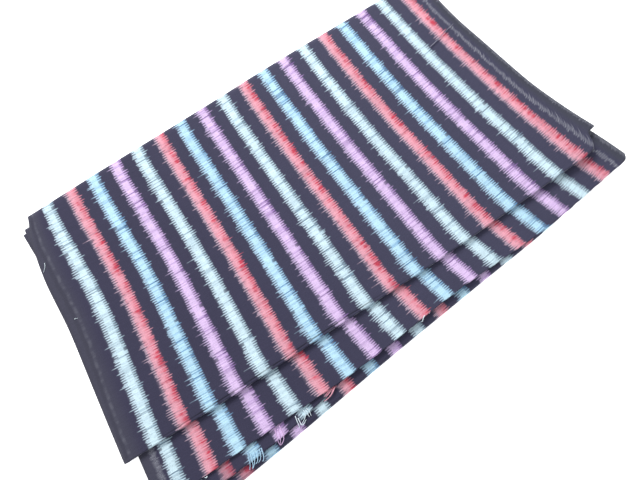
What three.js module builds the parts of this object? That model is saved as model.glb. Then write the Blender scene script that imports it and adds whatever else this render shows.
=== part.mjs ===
// A length of striped cotton, folded in half three times, so that eight layers lie on each other.
// X runs across the cloth from its left selvedge to its right one, Y runs along its stripes from
// the near folds to the far folds, and Z runs up from the surface that it lies on. The origin is
// under the middle of the folded cloth. All lengths are in millimetres.
import * as THREE from 'three';

const SHEET = 1; // thickness of the cloth
const GAP = 0.4; // air between two layers
const LAYERS = 8;
const PITCH = SHEET + GAP;
const COLUMNS = 22; // steps across the cloth, from selvedge to selvedge
const LAYER_STEPS = 8; // steps along one layer, from fold to fold
const ARC_STEP = 1.76; // length of one step round a fold
const MIN_ARC_STEPS = 4;

// The layers stand further apart towards the far folds, from one place along the stripes to the
// other, and in soft swells before that. share is by how much, wave and shift place the swells.
const FAR_PUFF = { share: 0.07, fromY: 100, toY: 200 };
const SWELL = { share: 0.04, waveX: 42, waveY: 50, shift: 1.5 };

// Place of the top layer's left end of its near fold, from the middle of the folded cloth
const CENTRE = { x: 169, y: 76 };

// Where the layers end, in folds or cut edges. left and right are the places of the two
// selvedges, and y0 to y5 those of the fold or edge at six even steps between them.
const ENDS = {
  topFold: { left: -21.8, right: 355, y0: 1.1, y1: -1.3, y2: -2.2, y3: -3.7, y4: -2.6, y5: -2.4 },
  upperCut: { left: -13.7, right: 361.7, y0: -31.7, y1: -30.8, y2: -30.6, y3: -26.1, y4: -25.4, y5: -15.6 },
  lowerCut: { left: -8.8, right: 359.8, y0: -40, y1: -38.7, y2: -28.3, y3: -24.4, y4: -21.5, y5: -12.7 },
  outerFold: { left: -4.9, right: 358.8, y0: -48.8, y1: -42.9, y2: -36.3, y3: -30.8, y4: -25.5, y5: -15.4 },
  innerFold: { left: -6.8, right: 356.9, y0: -43.8, y1: -38, y2: -31.4, y3: -25.8, y4: -20.4, y5: -10.2 },
  farOuter: { left: -15, right: 348.1, y0: 198.4, y1: 199.7, y2: 199.7, y3: 200.9, y4: 200.4, y5: 199.9 },
  farSecond: { left: -20.1, right: 349, y0: 190.1, y1: 191.4, y2: 191.8, y3: 192.8, y4: 192.5, y5: 191.6 },
  farThird: { left: -23.4, right: 350, y0: 185.2, y1: 186.3, y2: 187, y3: 187.7, y4: 187.2, y5: 186.5 },
  farInner: { left: -17.6, right: 351, y0: 180.6, y1: 182.1, y2: 182.6, y3: 183, y4: 182.7, y5: 181.9 },
};

// The cloth's way through the fold, from one cut end to the other. Layer 1 is on top. leftBow and
// rightBow are how far the selvedges swing to the right halfway along the layer.
const ROUTE = [
  { layer: 3, from: 'upperCut', to: 'farThird', leftBow: 5, rightBow: -5 },
  { layer: 6, from: 'farThird', to: 'innerFold', leftBow: -2, rightBow: -3 },
  { layer: 7, from: 'innerFold', to: 'farSecond', leftBow: -1, rightBow: -2 },
  { layer: 2, from: 'farSecond', to: 'topFold', leftBow: 0.5, rightBow: -5 },
  { layer: 1, from: 'topFold', to: 'farOuter', leftBow: -1.5, rightBow: -4 },
  { layer: 8, from: 'farOuter', to: 'outerFold', leftBow: -2, rightBow: -1 },
  { layer: 5, from: 'outerFold', to: 'farInner', leftBow: -1, rightBow: -2 },
  { layer: 4, from: 'farInner', to: 'lowerCut', leftBow: 2, rightBow: -4 },
];

// The top fold's right corner is drawn back and stands up a little.
const CORNER = { start: 0.92, back: 14, lift: 2.2, liftFromX: 260, liftToX: 350, liftToY: 75 };

const smooth = (t) => THREE.MathUtils.smoothstep(t, 0, 1);

/** How far back the top fold's right corner is drawn, at a share across of the width. */
function cornerBack(name, across) {
  return name === 'topFold' ? CORNER.back * smooth((across - CORNER.start) / (1 - CORNER.start)) : 0;
}

/** Place of a fold or cut edge along the stripes, at a share across of the width. */
function endY(name, across) {
  const end = ENDS[name];
  const places = [end.y0, end.y1, end.y2, end.y3, end.y4, end.y5];
  const at = across * (places.length - 1);
  const step = Math.min(Math.floor(at), places.length - 2);
  return THREE.MathUtils.lerp(places[step], places[step + 1], at - step) + cornerBack(name, across);
}

/** Place of a fold or cut edge across the stripes, at a share across of the width. */
function endX(name, across) {
  return THREE.MathUtils.lerp(ENDS[name].left, ENDS[name].right, across);
}

const isFar = (name) => name.startsWith('far');
const isCut = (name) => name.endsWith('Cut');

/** Height of the middle of a layer at one place. The lowest layer lies flat on the surface. */
function layerZ(layer, x, y) {
  const far = smooth((y - FAR_PUFF.fromY) / (FAR_PUFF.toY - FAR_PUFF.fromY));
  const swell = (1 + Math.sin(x / SWELL.waveX + SWELL.shift) * Math.cos(y / SWELL.waveY)) / 2;
  const stack = (LAYERS - layer) * PITCH * (1 + FAR_PUFF.share * far + SWELL.share * swell * (1 - far));
  const corner = smooth((x - CORNER.liftFromX) / (CORNER.liftToX - CORNER.liftFromX));
  const lift = layer <= 2 ? CORNER.lift * corner * smooth(1 - y / CORNER.liftToY) : 0;
  return SHEET / 2 + stack + lift;
}

/** Radius of the fold between two layers, at its end and a share across. */
function foldRadius(row, next, name, across) {
  const x = endX(name, across);
  const y = endY(name, across);
  return Math.abs(layerZ(row.layer, x, y) - layerZ(next.layer, x, y)) / 2;
}

/** Where a layer's flat stretch stops at one of its ends: short of a fold by the fold's radius. */
function flatEndY(row, neighbour, name, across) {
  if (isCut(name)) return endY(name, across);
  const inward = isFar(name) ? -1 : 1;
  return endY(name, across) + inward * (foldRadius(row, neighbour, name, across) + SHEET / 2);
}

/** Middle points of one layer at a share across, from its start to its end. */
function layerPoints(index, across) {
  const row = ROUTE[index];
  const startY = flatEndY(row, ROUTE[index - 1], row.from, across);
  const stopY = flatEndY(row, ROUTE[index + 1], row.to, across);
  const points = [];
  for (let step = 0; step <= LAYER_STEPS; step += 1) {
    const along = step / LAYER_STEPS;
    const y = THREE.MathUtils.lerp(startY, stopY, along);
    const bow = 4 * along * (1 - along) * THREE.MathUtils.lerp(row.leftBow, row.rightBow, across);
    const x = THREE.MathUtils.lerp(endX(row.from, across), endX(row.to, across), along) + bow;
    points.push(new THREE.Vector3(x, y, layerZ(row.layer, x, y)));
  }
  return points;
}

/** Middle points round the fold that follows one layer, without the points of the layers. */
function foldPoints(index, across, last, first) {
  const name = ROUTE[index].to;
  const outward = isFar(name) ? 1 : -1;
  const layersApart = Math.abs(ROUTE[index].layer - ROUTE[index + 1].layer);
  const arcLength = (Math.PI * layersApart * PITCH) / 2;
  const steps = Math.max(MIN_ARC_STEPS, Math.round(arcLength / ARC_STEP));
  const radius = foldRadius(ROUTE[index], ROUTE[index + 1], name, across);
  const points = [];
  for (let step = 1; step < steps; step += 1) {
    const turn = (Math.PI * step) / steps;
    const share = (1 - Math.cos(turn)) / 2;
    points.push(
      new THREE.Vector3(
        endX(name, across),
        THREE.MathUtils.lerp(last.y, first.y, share) + outward * radius * Math.sin(turn),
        THREE.MathUtils.lerp(last.z, first.z, share),
      ),
    );
  }
  return points;
}

/** The cloth's middle line at a share across, from one cut end to the other. */
function clothLine(across) {
  const layers = ROUTE.map((row, index) => layerPoints(index, across));
  return layers.flatMap((points, index) => {
    if (index === layers.length - 1) return points;
    const fold = foldPoints(index, across, points[points.length - 1], layers[index + 1][0]);
    return [...points, ...fold];
  });
}

/** The two faces of the cloth at one line of middle points, half the thickness off on each side. */
function clothFaces(line) {
  const normals = line.map((point, index) => {
    const before = line[Math.max(index - 1, 0)];
    const after = line[Math.min(index + 1, line.length - 1)];
    return new THREE.Vector3(0, before.z - after.z, after.y - before.y).normalize();
  });
  return [1, -1].map((side) =>
    line.map((point, index) => point.clone().addScaledVector(normals[index], (side * SHEET) / 2)),
  );
}

/** The folded cloth as one closed body. */
function foldedCloth() {
  const positions = [];
  const triangles = [];
  const columns = [];
  for (let column = 0; column <= COLUMNS; column += 1) columns.push(clothFaces(clothLine(column / COLUMNS)));
  const rows = columns[0][0].length;
  for (const faces of columns) {
    for (const face of faces) {
      for (const point of face) positions.push(point.x - CENTRE.x, point.y - CENTRE.y, point.z);
    }
  }
  const at = (column, side, row) => (column * 2 + side) * rows + row;
  const quad = (a, b, c, d) => triangles.push(a, b, c, a, c, d);
  for (let column = 0; column < COLUMNS; column += 1) {
    for (let row = 0; row < rows - 1; row += 1) {
      quad(at(column, 0, row), at(column + 1, 0, row), at(column + 1, 0, row + 1), at(column, 0, row + 1));
      quad(at(column, 1, row), at(column, 1, row + 1), at(column + 1, 1, row + 1), at(column + 1, 1, row));
    }
    quad(at(column, 1, 0), at(column + 1, 1, 0), at(column + 1, 0, 0), at(column, 0, 0));
    const end = rows - 1;
    quad(at(column, 0, end), at(column + 1, 0, end), at(column + 1, 1, end), at(column, 1, end));
  }
  for (let row = 0; row < rows - 1; row += 1) {
    quad(at(0, 0, row), at(0, 0, row + 1), at(0, 1, row + 1), at(0, 1, row));
    quad(at(COLUMNS, 0, row), at(COLUMNS, 1, row), at(COLUMNS, 1, row + 1), at(COLUMNS, 0, row + 1));
  }
  const geometry = new THREE.BufferGeometry();
  geometry.setAttribute('position', new THREE.Float32BufferAttribute(positions, 3));
  geometry.setIndex(triangles);
  geometry.computeVertexNormals();
  return geometry;
}

const cotton = new THREE.MeshStandardMaterial({ color: 0x35344a, roughness: 0.9, metalness: 0 });
const cloth = new THREE.Mesh(foldedCloth(), cotton);
cloth.name = 'folded_cloth';

const group = new THREE.Group();
group.add(cloth);

export default group;
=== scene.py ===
"""A length of striped cotton, folded in half three times, lying on a pale surface.

The cloth is one thin sheet that follows its solid's folds. Its feathered stripes are dyed into the
threads that run across it, so each such thread starts and stops its colours at its own places.
"""

import logging
import math
from dataclasses import dataclass, field
from enum import Enum

import bpy
import numpy as np
from mathutils import Matrix, Vector


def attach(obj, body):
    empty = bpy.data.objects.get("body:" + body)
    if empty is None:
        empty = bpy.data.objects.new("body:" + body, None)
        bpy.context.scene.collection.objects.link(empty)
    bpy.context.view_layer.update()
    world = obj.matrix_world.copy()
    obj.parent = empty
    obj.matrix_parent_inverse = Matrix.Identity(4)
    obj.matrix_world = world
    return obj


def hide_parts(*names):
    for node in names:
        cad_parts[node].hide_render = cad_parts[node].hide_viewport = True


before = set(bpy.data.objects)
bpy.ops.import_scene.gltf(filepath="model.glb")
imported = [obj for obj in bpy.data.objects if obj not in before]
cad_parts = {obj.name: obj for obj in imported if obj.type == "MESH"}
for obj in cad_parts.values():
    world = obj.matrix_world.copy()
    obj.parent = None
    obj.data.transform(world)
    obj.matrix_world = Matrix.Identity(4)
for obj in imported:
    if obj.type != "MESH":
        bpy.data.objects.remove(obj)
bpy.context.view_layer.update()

log = logging.getLogger("striped cotton")

MM = 0.001
WIDTH = 375.0  # from selvedge to selvedge
FIRST_STRIPE = 20.5  # from the left selvedge to the middle of the first stripe
STRIPE_PITCH = 19.5
STRIPES = 18
LAST_STRIPE = FIRST_STRIPE + (STRIPES - 1) * STRIPE_PITCH
THREAD_PITCH = 0.66  # from one dyed thread to the next, on the cloth's own map
SAG_MIDDLE = 140.0  # where the threads that run across sag most, from the left selvedge
SAG = 0.00025  # how fast they rise from there to both sides, per millimetre squared
CLOTH_NODE = "folded_cloth"
BODY = "root"

# The middle of the folded cloth, from the middle of the top layer's first stripe at its near fold
CENTRE_X = 169.0
CENTRE_Y = 76.0

Tone = tuple[int, int, int]  # a colour as seen: its red, green and blue from 0 to 255
Colour = tuple[float, float, float, float]  # a shader's colour


def smooth(share: np.ndarray | float) -> np.ndarray:
    """Ease a share from 0 to 1.

    Args:
        share: a number or an array of numbers, held between 0 and 1 first.

    Returns:
        The eased share.
    """
    held = np.clip(share, 0.0, 1.0)
    return held * held * (3.0 - 2.0 * held)


def through(at: np.ndarray | float, knots: np.ndarray, values: np.ndarray) -> np.ndarray:
    """Run a smooth curve through a few values.

    Args:
        at: where the curve is read.
        knots: the places of the values, rising.
        values: the values there.

    Returns:
        The curve's values at those places.
    """
    knots = np.asarray(knots, dtype=float)
    values = np.asarray(values, dtype=float)
    slopes = np.gradient(values, knots)
    step = np.clip(np.searchsorted(knots, at, side="right") - 1, 0, len(knots) - 2)
    span = knots[step + 1] - knots[step]
    t = (at - knots[step]) / span
    start = (1.0 + 2.0 * t) * (1.0 - t) ** 2 * values[step] + t * (1.0 - t) ** 2 * span * slopes[step]
    stop = t * t * (3.0 - 2.0 * t) * values[step + 1] + t * t * (t - 1.0) * span * slopes[step + 1]
    return start + stop


def puckers(x: np.ndarray, y: np.ndarray) -> np.ndarray:
    """Small uneven waves of the cloth: long ones that turn along it, and short ones on them.

    Args:
        x: places across the cloth.
        y: places along its stripes.

    Returns:
        How high the waves are there, from about -1.6 to 1.6.
    """
    long_waves = np.sin(x / 13.0 + 1.6 * np.sin(y / 37.0)) * np.cos(y / 19.0 + x / 61.0)
    short_waves = np.sin(x / 6.7 - y / 23.0 + 0.8) * np.sin(y / 9.1 + x / 41.0)
    return long_waves + 0.6 * short_waves


def grid(across: np.ndarray, along: np.ndarray) -> np.ndarray:
    """Pair all places across with each place along, row by row."""
    return np.stack(np.broadcast_arrays(across[None, :], along[:, None]), axis=-1).reshape(-1, 2)


def add(name: str, data: bpy.types.ID) -> bpy.types.Object:
    """Put a mesh, a light or a camera into the scene."""
    thing = bpy.data.objects.new(name, data)
    bpy.context.scene.collection.objects.link(thing)
    return thing


def add_smooth(name: str, mesh: bpy.types.Mesh, material: bpy.types.Material) -> bpy.types.Object:
    """Put a smooth mesh with one material into the scene."""
    mesh.materials.append(material)
    mesh.polygons.foreach_set("use_smooth", [True] * len(mesh.polygons))
    mesh.update()
    return add(name, mesh)


def point_at_corners(mesh: bpy.types.Mesh) -> np.ndarray:
    """Number of the point at each corner of a mesh's faces."""
    points = np.empty(len(mesh.loops), dtype=np.int32)
    mesh.loops.foreach_get("vertex_index", points)
    return points


@dataclass(frozen=True)
class Across:
    """Where five lines of the cloth lie at one place along it.

    left and right are its selvedges, first and last the middles of its outer stripes, and middle
    is halfway between those. All are in millimetres to the right of the first stripe's middle at
    the top layer's near fold.
    """

    left: float
    first: float
    middle: float
    last: float
    right: float

    @classmethod
    def even(cls, left: float, right: float) -> "Across":
        """Spread the stripes evenly between two selvedges."""
        share = (right - left) / WIDTH
        first = left + FIRST_STRIPE * share
        last = left + LAST_STRIPE * share
        return cls(left, first, (first + last) / 2.0, last, right)

    def x(self, width: np.ndarray) -> np.ndarray:
        """Place lines of the cloth.

        Args:
            width: how far each line is from the left selvedge, in millimetres.

        Returns:
            Where each line lies, in millimetres.
        """
        share = np.clip((width - FIRST_STRIPE) / (LAST_STRIPE - FIRST_STRIPE), 0.0, 1.0)
        sag = self.middle - (self.first + self.last) / 2.0
        stripes = self.first + (self.last - self.first) * share + sag * 4.0 * share * (1.0 - share)
        from_left = np.interp(width, (0.0, FIRST_STRIPE), (self.left, self.first))
        from_right = np.interp(width, (LAST_STRIPE, WIDTH), (self.last, self.right))
        return np.where(width < FIRST_STRIPE, from_left, np.where(width > LAST_STRIPE, from_right, stripes))


class End(Enum):
    """The folds and cut edges where the layers end."""

    TOP_FOLD = "top fold"
    UPPER_CUT = "upper cut edge"
    LOWER_CUT = "lower cut edge"
    OUTER_FOLD = "outer fold"
    INNER_FOLD = "inner fold"
    FAR_OUTER = "far outer fold"
    FAR_SECOND = "far second fold"
    FAR_THIRD = "far third fold"
    FAR_INNER = "far inner fold"

    @property
    def is_far(self) -> bool:
        """Whether the end is one of the far folds."""
        return self.value.startswith("far")

    @property
    def is_cut(self) -> bool:
        """Whether the end is a cut edge and not a fold."""
        return self.value.endswith("cut edge")


@dataclass(frozen=True)
class EndLine:
    """One fold or cut edge: across places its lines, reach how far along it lies at six even steps."""

    across: Across
    reach: tuple[float, float, float, float, float, float]

    def reach_at(self, share: np.ndarray) -> np.ndarray:
        """How far along it lies, at shares of the way from the left selvedge to the right one."""
        return through(share, np.linspace(0.0, 1.0, len(self.reach)), self.reach)


END_LINES = {
    End.TOP_FOLD: EndLine(
        Across(-21.9, -0.2, 165.3, 330.9, 357.3),
        (1.1, -1.3, -2.2, -3.7, -2.9, -2.0),
    ),
    End.UPPER_CUT: EndLine(
        Across(-13.7, 0.3, 171.8, 336.7, 361.4),
        (-31.7, -30.8, -30.6, -26.1, -25.4, -18.2),
    ),
    End.LOWER_CUT: EndLine(
        Across(-8.8, 8.5, 173.8, 336.0, 359.8),
        (-40.0, -38.7, -28.3, -24.4, -21.5, -12.7),
    ),
    End.OUTER_FOLD: EndLine(
        Across(-4.9, 17.0, 183.2, 338.5, 358.8),
        (-48.8, -42.9, -36.3, -30.8, -25.5, -15.4),
    ),
    End.INNER_FOLD: EndLine(Across.even(-6.8, 356.9), (-43.8, -38.0, -31.4, -25.8, -20.4, -10.2)),
    End.FAR_OUTER: EndLine(
        Across(-15.6, -0.6, 166.3, 327.6, 348.6),
        (200.9, 202.5, 202.9, 204.1, 203.6, 202.6),
    ),
    End.FAR_SECOND: EndLine(Across.even(-22.0, 348.0), (192.6, 193.4, 193.8, 194.8, 194.5, 193.6)),
    End.FAR_THIRD: EndLine(Across.even(-25.0, 348.0), (189.4, 189.3, 189.0, 189.7, 189.2, 188.5)),
    End.FAR_INNER: EndLine(Across.even(-19.0, 349.0), (182.6, 183.1, 183.6, 184.0, 183.7, 182.9)),
}


@dataclass(frozen=True)
class Layer:
    """One layer of the fold. Layer 1 is on top.

    between holds the places of the cloth's lines at some shares of the way from start to stop,
    steps is how many steps the layer is made in, and crowd draws those steps towards its near end.
    """

    number: int
    start: End
    stop: End
    between: tuple[tuple[float, Across], ...]
    steps: int = 12
    crowd: float = 1.7


# The cloth's way through the fold, from one cut end to the other
ROUTE = (
    Layer(
        3,
        End.UPPER_CUT,
        End.FAR_THIRD,
        (
            (0.06, Across(-13.5, 1.4, 170.0, 334.2, 359.4)),
            (0.14, Across(-13.3, 2.4, 168.2, 331.4, 356.2)),
            (0.22, Across(-13.4, 3.0, 167.4, 330.0, 352.6)),
            (0.33, Across(-13.6, 4.0, 166.0, 328.0, 348.8)),
            (0.6, Across(-16.0, 3.0, 165.0, 326.0, 345.5)),
        ),
        steps=34,
    ),
    Layer(6, End.FAR_THIRD, End.INNER_FOLD, ((0.5, Across.even(-18.6, 346.5)),)),
    Layer(7, End.INNER_FOLD, End.FAR_SECOND, ((0.5, Across.even(-17.5, 346.5)),)),
    Layer(2, End.FAR_SECOND, End.TOP_FOLD, ((0.5, Across.even(-21.0, 346.0)),), steps=24),
    Layer(
        1,
        End.TOP_FOLD,
        End.FAR_OUTER,
        (
            (0.06, Across(-21.8, 0.5, 164.9, 329.5, 355.2)),
            (0.14, Across(-21.7, 1.4, 164.9, 328.8, 352.9)),
            (0.27, Across(-21.5, 2.7, 165.0, 327.6, 350.2)),
            (0.5, Across(-20.9, 4.6, 164.7, 326.3, 348.3)),
            (0.75, Across(-22.2, 2.0, 165.0, 326.0, 346.8)),
            (0.93, Across(-18.8, -0.3, 165.6, 327.0, 348.3)),
        ),
        steps=92,
        crowd=1.25,
    ),
    Layer(8, End.FAR_OUTER, End.OUTER_FOLD, ((0.5, Across.even(-12.0, 348.0)),)),
    Layer(5, End.OUTER_FOLD, End.FAR_INNER, ((0.5, Across.even(-13.3, 348.0)),), steps=22),
    Layer(4, End.FAR_INNER, End.LOWER_CUT, ((0.5, Across.even(-12.2, 347.5)),), steps=22),
)

# Rooms that the stretches of the cloth get on the map for baking, on the face that is outside at the
# top fold and on the other one. What is hidden gets little. The layers named here show from their
# near ends to a place along the stripes, which comes first.
HIDDEN_ROOM = 0.06
LAYER_ROOMS = {
    1: (250.0, (1.0, HIDDEN_ROOM)),
    3: (40.0, (1.0, HIDDEN_ROOM)),
    4: (30.0, (HIDDEN_ROOM, 1.0)),
    5: (30.0, (0.8, HIDDEN_ROOM)),
    8: (250.0, (0.25, HIDDEN_ROOM)),
}
FOLD_ROOMS = {
    End.TOP_FOLD: (1.0, HIDDEN_ROOM),
    End.FAR_OUTER: (1.0, HIDDEN_ROOM),
    End.OUTER_FOLD: (0.8, HIDDEN_ROOM),
}

# From one dyed thread to the next, at places along: the weaver beat them closer at some than at others
PITCH_PLACES = (-50.0, 0.0, 60.0, 110.0, 160.0, 200.0)
PITCHES = (0.68, 0.74, 0.84, 0.94, 1.03, 1.09)

# How far back the top fold's right corner is drawn, at shares across the cloth
CORNER_SHARES = (0.0, 0.95, 0.965, 0.972, 0.977, 0.9805, 0.984, 0.99, 1.0)
CORNER_BACK = (0.0, 0.0, 0.7, 1.8, 4.6, 9.0, 12.6, 13.2, 13.8)


@dataclass
class FoldedCloth:
    """The cloth, as one thin closed sheet on its folds. All sizes are in millimetres."""

    thickness: float = 0.7
    layers: int = 8
    pitch: float = 1.4  # from the middle of one layer to the middle of the next
    base: float = 0.5  # height of the middle of the lowest layer: half the solid's thickness
    columns: int = 144
    margin_columns: int = 22  # finer ones in the margin right of the last stripe
    arc_steps: int = 8
    far_puff: float = 0.07  # share by which the layers stand further apart at the far folds
    far_puff_from: float = 100.0
    far_puff_to: float = 200.0
    swell: float = 0.04  # share by which they stand further apart in soft swells elsewhere
    swell_wave_x: float = 42.0
    swell_wave_y: float = 50.0
    swell_shift: float = 1.5
    pucker: float = 0.11  # height of the top layer's small waves
    corner_lift: float = 2.2
    corner_lift_from: float = 260.0
    corner_lift_to: float = 350.0
    corner_lift_reach: float = 75.0
    ridge_along: tuple[float, ...] = (0.0, 35.0, 70.0, 107.0, 160.0, 190.0)
    ridge_across: tuple[float, ...] = (-16.0, -14.2, -12.0, -10.8, -14.8, -15.0)
    ridge_height: float = 0.28  # of the soft ridge over the lower layers' selvedges
    ridge_half: float = 1.9
    droop: float = 1.5  # how far the margin to the left of the ridge hangs down
    droop_width: float = 7.0
    droop_to: float = 60.0
    droop_fade: float = 110.0
    groove_at: float = 2.1  # from the top layer's near fold to the crease beside it
    groove_depth: float = 0.22
    groove_half: float = 0.6
    groove_to: float = 230.0
    groove_fade: float = 90.0
    cut_wave: float = 0.22
    rounding: float = 4.0  # width of the rounded corners of the top fold and the cut edges
    fold_corner: float = 0.4  # how far back the top fold's left corner is rounded
    cut_corner: float = 3.9  # how far back the cut edges' right corners are rounded
    points: np.ndarray = field(init=False, repr=False)  # middle of the sheet, row by row
    along: np.ndarray = field(init=False, repr=False)  # the rows' places along the cloth
    beaten: np.ndarray = field(init=False, repr=False)  # their places if all threads were beaten alike
    room: np.ndarray = field(init=False, repr=False)  # their places along the map for baking, by face

    def height(self, layer: int, x: np.ndarray, y: np.ndarray) -> np.ndarray:
        """Height of the middle of a layer.

        Args:
            layer: the layer's number.
            x: places across the cloth.
            y: places along its stripes.

        Returns:
            The heights there.
        """
        far = smooth((y - self.far_puff_from) / (self.far_puff_to - self.far_puff_from))
        waves = np.sin(x / self.swell_wave_x + self.swell_shift) * np.cos(y / self.swell_wave_y)
        spread = 1.0 + self.far_puff * far + self.swell * (1.0 + waves) / 2.0 * (1.0 - far)
        stack = (self.layers - layer) * self.pitch * spread
        return self.base + stack + self.relief(layer, x, y)

    def relief(self, layer: int, x: np.ndarray, y: np.ndarray) -> np.ndarray:
        """Small ups and downs of a layer: its lifted corner, its drooping margin and its creases."""
        over = (self.layers - layer) / (self.layers - 1.0)
        relief = self.pucker * over * puckers(x, y)
        if layer > 2:
            return relief
        corner = smooth((x - self.corner_lift_from) / (self.corner_lift_to - self.corner_lift_from))
        relief = relief + self.corner_lift * corner * smooth(1.0 - y / self.corner_lift_reach)
        held = np.clip(y, self.ridge_along[0], self.ridge_along[-1])
        past = x - through(held, self.ridge_along, self.ridge_across)
        droop = smooth(-past / self.droop_width) * (1.0 - smooth((y - self.droop_to) / self.droop_fade))
        relief = relief - self.droop * droop + self.ridge_height * np.exp(-((past / self.ridge_half) ** 2))
        if layer > 1:
            return relief
        fold = END_LINES[End.TOP_FOLD]
        reach = fold.reach_at(np.clip((x - fold.across.left) / WIDTH, 0.0, 1.0))
        groove = np.exp(-(((y - reach - self.groove_at) / self.groove_half) ** 2))
        return relief - self.groove_depth * groove * smooth((self.groove_to - x) / self.groove_fade)

    def end_reach(self, end: End, width: np.ndarray) -> np.ndarray:
        """How far along a fold or cut edge lies, at places across the cloth."""
        share = width / WIDTH
        reach = END_LINES[end].reach_at(share)
        if end is End.TOP_FOLD:
            corner = np.clip(1.0 - width / self.rounding, 0.0, 1.0) ** 2
            reach = reach + np.interp(share, CORNER_SHARES, CORNER_BACK) + self.fold_corner * corner
        if end.is_cut:
            corner = np.clip((width - WIDTH + self.rounding) / self.rounding, 0.0, 1.0) ** 2.5
            waves = np.sin(width / 1.9) * np.sin(width / 7.3 + 1.0)
            reach = reach + self.cut_wave * waves + self.cut_corner * corner
        return reach

    def fold_radius(self, index: int, width: np.ndarray) -> np.ndarray:
        """Radius of the fold after a layer of the route, at places across the cloth."""
        end = ROUTE[index].stop
        x = END_LINES[end].across.x(width)
        y = self.end_reach(end, width)
        upper = self.height(ROUTE[index].number, x, y)
        lower = self.height(ROUTE[index + 1].number, x, y)
        return np.abs(upper - lower) / 2.0

    def flat_end(self, index: int, at_start: bool, width: np.ndarray) -> np.ndarray:
        """Where a layer's flat stretch ends.

        Args:
            index: the layer's place in the route.
            at_start: True for the end where the layer starts.
            width: places across the cloth.

        Returns:
            How far along it ends: short of a fold by its radius and half the solid's thickness.
        """
        layer = ROUTE[index]
        end = layer.start if at_start else layer.stop
        reach = self.end_reach(end, width)
        if end.is_cut:
            return reach
        inward = -1.0 if end.is_far else 1.0
        return reach + inward * (self.fold_radius(index - 1 if at_start else index, width) + self.base)

    def layer_rows(self, index: int, width: np.ndarray) -> list[np.ndarray]:
        """Rows of middle points of one layer, from its start to its stop."""
        layer = ROUTE[index]
        knots = [0.0] + [share for share, _ in layer.between] + [1.0]
        between = [line for _, line in layer.between]
        lines = [END_LINES[layer.start].across, *between, END_LINES[layer.stop].across]
        places = np.array([line.x(width) for line in lines])
        start = self.flat_end(index, True, width)
        stop = self.flat_end(index, False, width)
        rows = []
        for step in range(layer.steps + 1):
            share = step / layer.steps
            if layer.start.is_far:
                share = 1.0 - (1.0 - share) ** layer.crowd
            else:
                share = share**layer.crowd
            x = np.array([through(share, knots, places[:, column]) for column in range(len(width))])
            y = start + (stop - start) * share
            rows.append(np.stack([x, y, self.height(layer.number, x, y)], axis=1))
        return rows

    def fold_rows(
        self, index: int, last: np.ndarray, first: np.ndarray, width: np.ndarray
    ) -> list[np.ndarray]:
        """Rows of middle points round the fold after a layer, without the layers' own rows."""
        end = ROUTE[index].stop
        radius = self.fold_radius(index, width)
        outward = 1.0 if end.is_far else -1.0
        rows = []
        for step in range(1, self.arc_steps):
            turn = math.pi * step / self.arc_steps
            share = (1.0 - math.cos(turn)) / 2.0
            row = last + (first - last) * share
            row[:, 1] = row[:, 1] + outward * radius * math.sin(turn)
            rows.append(row)
        return rows

    def middle_surface(self) -> None:
        """Work out the middle points of the cloth, and where its rows lie along it and its maps."""
        width = self.widths
        flats = [self.layer_rows(index, width) for index in range(len(ROUTE))]
        rows: list[np.ndarray] = []
        rooms: list[tuple[float, float]] = []
        hidden = (HIDDEN_ROOM, HIDDEN_ROOM)
        for index, flat in enumerate(flats):
            rows.extend(flat)
            shown_to, shown = LAYER_ROOMS.get(ROUTE[index].number, (0.0, hidden))
            rooms.extend(shown if row[:, 1].mean() < shown_to else hidden for row in flat)
            if index < len(ROUTE) - 1:
                fold = self.fold_rows(index, flat[-1], flats[index + 1][0], width)
                rows.extend(fold)
                rooms.extend([FOLD_ROOMS.get(ROUTE[index].stop, hidden)] * len(fold))
        self.points = np.array(rows)
        steps = np.linalg.norm(np.diff(self.points, axis=0), axis=2).mean(axis=1)
        self.along = np.concatenate([[0.0], np.cumsum(steps)])
        places = self.points[:, :, 1].mean(axis=1)
        pitch = np.interp((places[1:] + places[:-1]) / 2.0, PITCH_PLACES, PITCHES)
        self.beaten = np.concatenate([[0.0], np.cumsum(steps * THREAD_PITCH / pitch)])
        between = (np.array(rooms)[1:] + np.array(rooms)[:-1]) / 2.0
        self.room = np.concatenate([np.zeros((1, 2)), np.cumsum(between * steps[:, None], axis=0)])
        self.points -= np.array([CENTRE_X, CENTRE_Y, 0.0])

    def faces(self) -> tuple[np.ndarray, np.ndarray]:
        """The cloth's two faces, half its thickness off its middle on each side."""
        down = np.gradient(self.points, axis=0)
        over = np.gradient(self.points, axis=1)
        normal = np.cross(over, down)
        normal /= np.linalg.norm(normal, axis=2, keepdims=True)
        half = normal * self.thickness / 2.0
        return self.points + half, self.points - half

    def build(self, material: bpy.types.Material) -> bpy.types.Object:
        """Make the sheet and dress it.

        Args:
            material: the cloth's finish.

        Returns:
            The cloth's object, which stands for its solid.
        """
        upper, lower = self.faces()
        rows, columns = self.points.shape[:2]
        count = rows * columns
        index = np.arange(count).reshape(rows, columns)
        corners = (index[:-1, :-1], index[:-1, 1:], index[1:, 1:], index[1:, :-1])
        front = np.stack(corners, axis=-1).reshape(-1, 4)
        back = front[:, ::-1] + count
        rims = []
        loops = ((index[0], True), (index[-1], False), (index[:, 0], False), (index[:, -1], True))
        for line, flip in loops:
            quads = np.stack([line[:-1], line[1:], line[1:] + count, line[:-1] + count], axis=-1)
            rims.append(quads[:, ::-1] if flip else quads)
        faces = np.concatenate([front, back, *rims])
        places = np.concatenate([upper.reshape(-1, 3), lower.reshape(-1, 3)]) * MM
        mesh = bpy.data.meshes.new("folded cotton")
        mesh.from_pydata(places.tolist(), [], faces.tolist())
        self.lay_out(mesh)
        self.lay_out_for_baking(mesh, len(front) + len(back))
        return add_smooth("folded_cotton", mesh, material)

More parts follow.
